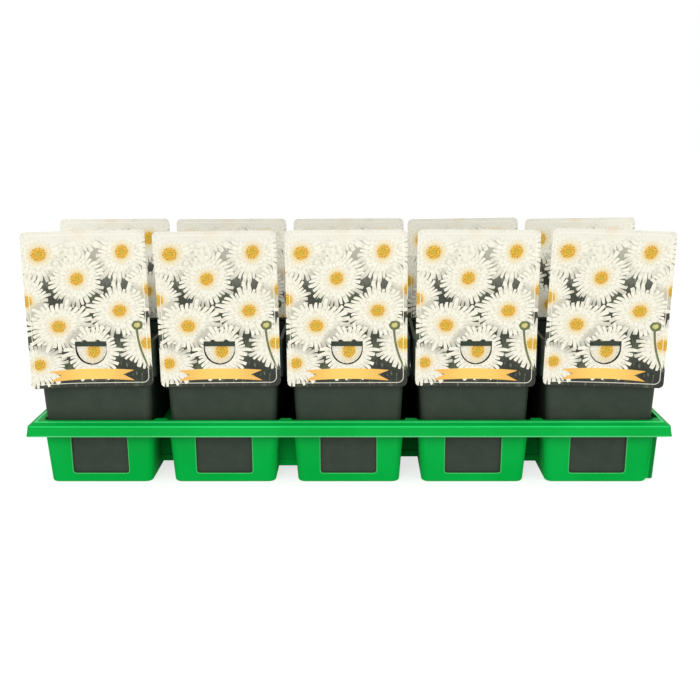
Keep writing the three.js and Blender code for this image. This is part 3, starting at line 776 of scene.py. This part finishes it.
def label_sheet():
    """A fine flat grid as thick as the sheet, cropped to the outline, less the slit."""
    x = np.linspace(-LABEL["half"] - 1, LABEL["half"] + 1, 44)
    z = np.linspace(LABEL["low"] - 1, LABEL["high"] + 1, 56)
    front = np.stack(np.broadcast_arrays(x[None, :], LABEL["back"] - LABEL["thick"], z[:, None]), -1)
    points = np.concatenate([front.reshape(-1, 3), front.reshape(-1, 3) + [0, LABEL["thick"], 0]])
    faces = slab_faces(*front.shape[:2])[:, ::-1].tolist()
    middle, tall = (LABEL["high"] + LABEL["low"]) / 2, (LABEL["high"] - LABEL["low"]) / 2
    outline = rounded_rectangle(LABEL["half"], tall, LABEL["radius"], 8) + [0, middle]
    slit = tongue_outline(TONGUE["half"] + TONGUE["slit"], TONGUE["low"] - TONGUE["slit"], TONGUE["root"])
    return carved("label_sheet", (points, faces), [
        ("INTERSECT", upright_plate(outline, *LABEL_CUT)),
        ("DIFFERENCE", upright_plate(slit, *LABEL_CUT)), ("DIFFERENCE", gathered(nub_notches()))])


def nub_notches():
    """Arches a little larger than the bar's nubs, through the sheet and the front of the fold."""
    half, low, top = NUB["half"] + NOTCH_LARGER, BAR["high"] - NOTCH_LARGER, NUB["top"] + NOTCH_LARGER
    back = COLLAR_FACE + BAR["thick"] + 0.1
    arches = [nub_arch(half, low, top, x) for x in (NUB["at"], -NUB["at"])]
    return [upright_plate(arch, LABEL_CUT[0], back) for arch in arches]


def tongue_path():
    """Depth and height along the tongue, from the sheet back over the bar, then down, and the
    height that each point had in the uncut sheet. The rounding goes round a closed path, so
    the repeated points at the two open ends are left out."""
    middle, fold = LABEL["back"] - LABEL["thick"] / 2, TONGUE["root"] + LABEL["thick"] / 2
    path = softened([(middle, fold + 0.65, 0.0), (middle, fold, 0.3), (TONGUE["behind"], fold, 0.6),
                     (TONGUE["behind"], TONGUE["low"], 0.0)])[3:13]
    down = np.linspace(0, 1, 14)[1:, None]
    path = np.concatenate([path[:-1], path[-2] + (path[-1] - path[-2]) * down])
    gone = np.concatenate([[0], np.cumsum(np.linalg.norm(np.diff(path, axis=0), axis=1))])
    return path, TONGUE["root"] - gone / gone[-1] * (TONGUE["root"] - TONGUE["low"])


def tongue_strip():
    """Grid across the tongue and along its path, half a circle narrower to its end."""
    path, height = tongue_path()
    under = np.clip(TONGUE["low"] + TONGUE["half"] - height, 0, TONGUE["half"])
    half = np.sqrt(np.maximum(TONGUE["half"] ** 2 - under ** 2, 0.3))
    across = np.linspace(-1, 1, 13)
    surface = np.stack(np.broadcast_arrays(half[:, None] * across, path[:, :1], path[:, 1:]), -1)
    notches = ("DIFFERENCE", gathered(nub_notches()))
    return carved("tongue_strip", slab(surface, LABEL["thick"]), [notches])


def unrolled(points):
    """Flat place of points on the tongue: their x and the uncut height of the nearest of many
    places along the path."""
    path, height = tongue_path()
    share = np.linspace(0, len(path) - 1, 600)
    fine = np.stack([np.interp(share, np.arange(len(path)), column) for column in (*path.T, height)], 1)
    nearest = np.linalg.norm(points[:, None, 1:] - fine[None, :, :2], axis=2).argmin(1)
    return np.c_[points[:, 0], fine[nearest, 2]]


def bend(points, spot, draw):
    """How far each point of a sheet stands forward: a faint bow across, a faint curl of the
    top, and on some labels an outer edge or the top that has been bent forward."""
    across = points[:, 0] / LABEL["half"]
    above = np.clip((points[:, 2] - BEND_ABOVE) / 96, 0, 1)
    below = np.clip((BEND_BELOW - points[:, 2]) / 19, 0, 1)
    forward = 0.6 * draw.uniform(0, 1) * across ** 2 + draw.uniform(0, 2.0) * above ** 2
    if spot == "front_1":
        forward += 6.5 * np.clip(-across, 0, 1) ** 2 + 2.0 * np.clip(-across - 0.4, 0, 1) * below
    if spot == "front_2":
        forward += 7.5 * above ** 2
    if spot == "front_5":
        forward += 1.0 * above ** 2 + 2.0 * np.clip(across, 0, 1) ** 2
    return forward


def petal_ring(finish, own, seed, count, longest):
    """Outline of a ring of petals round the middle of own coordinates. The angle is cut into
    equal cells; a cell's outline is a random share of the longest petal, drawn in towards its
    two borders. Returns the outline, the distance from the border and the cell's draw."""
    parts = finish.parts(own)
    bent = finish.noise(own, 1.7, 1.0) * 1.6
    cells = finish.math("ARCTAN2", parts["Y"], parts["X"]) * (count / (2 * math.pi)) + bent
    inward = finish.math("PINGPONG", cells, 0.5)
    draw = finish.node("ShaderNodeTexWhiteNoise", {"noise_dimensions": "1D"},
                       {"W": finish.math("FLOOR", cells) + seed})["Value"]
    outline = finish.smooth(inward, 0.0, 0.26, 0.74, 1.0) * (draw * (0.30 * longest) + 0.72 * longest)
    return outline, inward, draw


def laid_heads(finish, place, heads):
    """Flower heads laid over each other, lowest first. Inside a head's petal outline its own
    coordinates, a radius long, and its number replace what lies below; outside it leaves a
    soft shade on that. Returns coordinates with the number, cover and shade."""
    local, cover, shade = (0.0, 0.0, 0.0), 0.0, 0.0
    for number, (x, y, radius, turn, squash) in enumerate(heads, 1):
        own = finish.node("ShaderNodeMapping", {"vector_type": "TEXTURE"}, {
            "Vector": place, "Location": (x, y, 0.0), "Rotation": (0.0, 0.0, turn),
            "Scale": (radius, radius * squash, 1.0)})["Vector"]
        reach = finish.vector("LENGTH", own)
        outline, _, _ = petal_ring(finish, own, 31.0 * number, 33, 1.03)
        inside = finish.math("LESS_THAN", reach, outline)
        local = finish.mix(inside, local, finish.vector("ADD", own, (0.0, 0.0, 31.0 * number)))
        cover = finish.math("MAXIMUM", cover, inside)
        shade = finish.math("MAXIMUM", shade, finish.smooth(reach, 1.15, 0.85, 0.0, 0.38)) * (1 - inside)
    return local, cover, shade


def petals_and_disc(finish, local):
    """Colour inside a head: three rings of cream-white petals, the upper ones shorter, each
    greyer at its borders and where the ring above shades it, and an amber stippled disc."""
    parts = finish.parts(local)
    own = finish.vector("MULTIPLY", local, (1.0, 1.0, 0.0))
    reach = finish.vector("LENGTH", own)
    tone = (0.0, 0.0, 0.0)
    for count, longest, lift in ((33, 1.03, 0.0), (29, 0.85, 5.0), (23, 0.62, 11.0), (15, 0.42, 17.0)):
        outline, inward, draw = petal_ring(finish, own, parts["Z"] + lift, count, longest)
        past = reach / outline
        rib = finish.math("PINGPONG", inward * 3.0, 0.5)
        grey = finish.smooth(inward, 0.15, 0.0, 0.0, 0.40) + draw * 0.14 + rib * 0.10
        petal = finish.mix(grey, (0.69, 0.665, 0.565), (0.38, 0.36, 0.28))
        if lift:
            tone = finish.mix(finish.smooth(past, 1.25, 1.0, 0.0, 0.30), tone, (0.30, 0.28, 0.19))
            petal = finish.mix(finish.smooth(past, 1.01, 0.98), tone, petal)
        tone = petal
    tone = finish.mix(finish.smooth(reach, 0.42, 0.2, 0.0, 0.75), tone, (0.58, 0.45, 0.18))
    stipple = finish.noise(finish.vector("ADD", own, (3.0, 5.0, 0.0)), 24.0, 2.0)
    disc = finish.mix(finish.smooth(stipple, 0.35, 0.65), (0.36, 0.155, 0.008), (0.69, 0.42, 0.035))
    disc = finish.mix(finish.smooth(reach, 0.14, 0.03, 0.0, 0.6), disc, (0.34, 0.28, 0.02))
    return finish.mix(finish.smooth(reach + stipple * 0.16, 0.30, 0.26), tone, disc)


def foliage(finish, place, vein, far):
    """Dark leaf tips in cells, paler veins on them, and all paler with distance."""
    blades = finish.node("ShaderNodeTexVoronoi", {"distance": "MANHATTAN"}, {
        "Vector": finish.vector("MULTIPLY", place, (0.085, 0.05, 1.0)), "Scale": 1.0, "Randomness": 1.0})
    dark = finish.smooth(blades["Distance"], 0.1, 0.75)
    leaves = finish.mix(dark, (0.070, 0.088, 0.048), (0.012, 0.015, 0.009))
    leaves = finish.mix(finish.smooth(vein, 0.58, 0.66, 0.0, 0.55), leaves, (0.15, 0.18, 0.09))
    return finish.mix(far * 0.8, leaves, (0.44, 0.43, 0.36))


def stalk_and_bud(finish, tone, place, parts, vein):
    """Lays a bowed stalk, x = 93 + 0.007 (y - 52)^2, and the scaly bud on its end over a tone."""
    up = parts["Y"] - 52.0
    sway = parts["X"] - 93.0 - up * up * 0.007
    stalk = finish.smooth(abs(sway), 1.15, 0.8) * finish.smooth(abs(parts["Y"] - 33.0), 18.5, 18.0)
    tone = finish.mix(stalk, tone, finish.mix(vein, (0.045, 0.06, 0.018), (0.15, 0.19, 0.07)))
    bud = finish.vector("LENGTH", finish.node("ShaderNodeMapping", {"vector_type": "TEXTURE"}, {
        "Vector": place, "Location": (93.5, 54.0, 0.0), "Scale": (5.2, 4.4, 1.0)})["Vector"])
    scales = finish.mix(finish.smooth(bud + vein, 0.75, 1.1), (0.48, 0.43, 0.16), (0.09, 0.11, 0.035))
    return finish.mix(finish.smooth(bud + 0.3 * vein, 1.1, 1.05), tone, scales)


def ribbon(finish, tone, parts):
    """Lays a plain amber ribbon over a tone: its middle line droops as 0.0012 x^2, its ends
    are cut in to a notch."""
    across, up = abs(parts["X"] - 52.0), parts["Y"] - 11.5
    arch = abs(up + across * across * 0.0012)
    ends = 36.0 - 2.2 * finish.math("MAXIMUM", 4.2 - arch, 0.0)
    inside = finish.smooth(arch, 4.9, 4.5) * finish.smooth(across - ends, 0.3, -0.3)
    amber = finish.mix(finish.smooth(across, 5.0, 40.0), (0.69, 0.46, 0.10), (0.64, 0.34, 0.07))
    return finish.mix(inside, tone, amber)


def edge_line(finish, place, wide, tall):
    """Thin line inside the sheet's edge: 5 mm from a rectangle that is 8.4 mm smaller."""
    centred = finish.vector("SUBTRACT", place, (wide / 2, tall / 2, 0.0))
    inner = (wide / 2 - 8.4, tall / 2 - 8.4, 0.0)
    past = finish.vector("SUBTRACT", finish.vector("ABSOLUTE", centred), inner)
    past = finish.vector("MAXIMUM", past, (0.0, 0.0, 0.0))
    return finish.smooth(abs(finish.vector("LENGTH", past) - 5.0), 0.42, 0.18, 0.0, 0.8)


HEADS = (  # x and y of the middle, radius, turn, height as a share of width; lowest first
    (49.0, 137.0, 27.0, 0.9, 0.9), (14.0, 117.0, 31.0, 0.4, 0.9), (84.0, 118.0, 30.0, 1.2, 0.85),
    (106.0, 85.0, 24.0, 0.1, 1.0), (1.0, 77.0, 24.0, 2.0, 0.95), (44.0, 95.0, 28.0, 0.8, 0.9),
    (101.0, 38.0, 25.0, 0.0, 0.95), (8.0, 21.0, 25.0, 0.5, 0.9), (79.0, 67.0, 29.0, 0.3, 0.85),
    (26.0, 54.0, 29.0, 0.15, 0.88), (54.0, 30.0, 28.0, 0.9, 0.9))


def label_print(name, painted_light_lift):
    """Own picture on the sheet: foliage, stalks and marguerites that run over the edge, a
    plain amber ribbon near the foot and a thin pale line inside the edge. The whole picture
    is brightened by a factor, painted light that lifts a row out of the shade it stands in."""
    finish = Finish(name, Roughness=0.38, Specular_IOR_Level=0.35)
    flat = finish.node("ShaderNodeUVMap", {"uv_map": "sheet"}, {})["UV"]
    wide, tall = 2 * LABEL["half"], LABEL["high"] - LABEL["low"]
    place = finish.vector("MULTIPLY", flat, (wide, tall, 0.0))
    parts = finish.parts(place)
    vein = finish.noise(finish.vector("MULTIPLY", place, (0.5, 0.12, 1.0)), 1.0, 3.0)
    far = finish.smooth(parts["Y"] + 20.0 * vein, 88.0, 132.0)
    local, cover, shade = laid_heads(finish, place, HEADS)
    tone = finish.mix(cover, foliage(finish, place, vein, far), petals_and_disc(finish, local))
    tone = finish.mix(shade * (1 - 0.7 * far), tone, (0.05, 0.055, 0.03))
    haze = finish.smooth(parts["Y"] + 16.0 * vein, 130.0, 141.0, 0.0, 0.85)
    tone = finish.mix(haze, tone, (0.60, 0.585, 0.51))
    tone = stalk_and_bud(finish, tone, place, parts, vein)
    tone = ribbon(finish, tone, parts)
    tone = finish.mix(edge_line(finish, place, wide, tall), tone, (0.70, 0.67, 0.57))
    return finish.done(Base_Color=finish.vector("MULTIPLY", tone, (painted_light_lift,) * 3))


def label_back():
    """The unprinted side: milky plastic, faintly cloudy."""
    finish = Finish("label_reverse", Roughness=0.45, Specular_IOR_Level=0.35)
    clouds = finish.noise(finish.place(), 40.0, 2.0)
    return finish.done(Base_Color=finish.mix(clouds, (0.68, 0.67, 0.62), (0.73, 0.72, 0.68)))


def mesh_arrays(mesh):
    """Points in millimetres and faces of a mesh."""
    return mesh_points(mesh) / MM, [list(face.vertices) for face in mesh.polygons]


sheet, strip = label_sheet(), tongue_strip()
sheet_points, sheet_faces = mesh_arrays(sheet.data)
strip_points, strip_faces = mesh_arrays(strip.data)
bpy.data.objects.remove(sheet)
bpy.data.objects.remove(strip)
flat_places = np.concatenate([sheet_points[:, [0, 2]], unrolled(strip_points)])
back_finish = label_back()
# The rear row's print is a brighter copy: painted light that makes up for the shade the front labels cast
# on it.
print_finish = {"front": label_print("printed_label", 1.0),
                "rear": label_print("printed_label_painted_brighter", 1.17)}
for number, (spot, x, y) in enumerate(spots):
    row, column = spot.split("_")[0], int(spot.split("_")[1]) - 1
    draw = np.random.default_rng(70 + number)
    points, faces = gathered([(sheet_points, sheet_faces), (strip_points, strip_faces)])
    on_sheet = np.arange(len(points)) < len(sheet_points)
    points[:, 1] -= np.where(on_sheet, bend(points, spot, draw), 0.0)
    lean = math.radians(LABEL_LEAN[row][column])
    side, up = points[:, 0].copy(), points[:, 2] - LABEL_PIVOT
    points[:, 0] = side * math.cos(lean) + up * math.sin(lean) + LABEL_SHIFT[row][column] + x
    points[:, 2] = up * math.cos(lean) - side * math.sin(lean) + LABEL_PIVOT
    points[:, 1] += y
    label = solid_object(f"label_card_{spot}", (points, faces))
    mesh = label.data
    corners = np.empty(len(mesh.loops), np.int32)
    mesh.loops.foreach_get("vertex_index", corners)
    sheet_size = [2 * LABEL["half"], LABEL["high"] - LABEL["low"]]
    share = (flat_places + [LABEL["half"], -LABEL["low"]]) / sheet_size
    mesh.uv_layers.new(name="sheet").data.foreach_set("uv", share[corners].ravel())
    normals = np.empty(len(mesh.polygons) * 3)
    mesh.polygons.foreach_get("normal", normals)
    mesh.polygons.foreach_set("material_index", (normals.reshape(-1, 3)[:, 1] > -0.5).astype(np.int32))
    mesh.shade_smooth()
    mesh.set_sharp_from_angle(angle=math.radians(40))
    mesh.materials.append(print_finish[row])
    mesh.materials.append(back_finish)
    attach(label, "root")
    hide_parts(f"label_{spot}")


# Studio and camera: a plain pale floor under an even white sky, a large soft lamp above and
# in front, a weaker one from the right, and a camera a metre in front of the tray's middle,
# which looks slightly down at it.

FLOOR_HALF = 9000.0


def studio_floor():
    """A wide square at the height of the tray's underside."""
    points = FLOOR_HALF * np.array([(-1, -1, 0), (1, -1, 0), (1, 1, 0), (-1, 1, 0)])
    floor = solid_object("studio_floor", (points, [[0, 1, 2, 3]]))
    finish = Finish("pale_floor", Roughness=0.9, Specular_IOR_Level=0.0, Emission_Strength=0.72,
                    Emission_Color=(1.0, 1.0, 1.0, 1.0))
    speck = finish.noise(finish.place(), 30.0, 2.0)
    tone = finish.mix(speck, (0.35, 0.35, 0.35), (0.37, 0.37, 0.37))
    floor.data.materials.append(finish.done(Base_Color=tone))
    return floor


def soft_lamp(name, place, aim, size, power):
    """A square area lamp at a place, turned to its aim."""
    light = bpy.data.lights.new(name, "AREA")
    light.energy, light.size = power, size
    lamp = linked(name, light)
    lamp.location = place
    away = np.array(place) - np.array(aim)
    lamp.rotation_euler = (math.acos(away[2] / np.linalg.norm(away)), 0, math.atan2(away[0], -away[1]))


studio_floor()
tray_middle = (0, 0, 0.15)
soft_lamp("key_lamp", (-0.4, -2.2, 1.3), tray_middle, 1.1, 25)
soft_lamp("fill_lamp", (1.6, -1.4, 1.4), tray_middle, 1.2, 6)
world = bpy.data.worlds.new("studio")
world.use_nodes = True
world.node_tree.nodes["Background"].inputs["Color"].default_value = (1, 1, 1, 1)
world.node_tree.nodes["Background"].inputs["Strength"].default_value = 1.0
bpy.context.scene.world = world
bpy.context.scene.view_settings.view_transform = "Standard"
bpy.context.scene.view_settings.look = "None"

LENS_MM = 55.15
SENSOR_MM = 36.0
CAMERA_PLACE = (0.00998, -1.01935, 0.31657)
PITCH_DOWN, YAW, ROLL = 0.2096, 0.0091, 0.0030
right = np.array([math.cos(YAW), math.sin(YAW), 0])
level = np.array([-math.sin(YAW), math.cos(YAW), 0])
ahead = level * math.cos(PITCH_DOWN) - np.array([0, 0, math.sin(PITCH_DOWN)])
upward = np.cross(right, ahead)
across_view = right * math.cos(ROLL) - upward * math.sin(ROLL)
up_view = right * math.sin(ROLL) + upward * math.cos(ROLL)
lens = bpy.data.cameras.new("camera")
lens.lens, lens.sensor_width = LENS_MM, SENSOR_MM
lens.clip_start, lens.clip_end = 0.05, 50.0
camera = linked("camera", lens)
turn = np.eye(4)
turn[:3, :3] = np.stack([across_view, up_view, -ahead], 1)
turn[:3, 3] = CAMERA_PLACE
camera.matrix_world = Matrix(turn.tolist())
bpy.context.scene.camera = camera
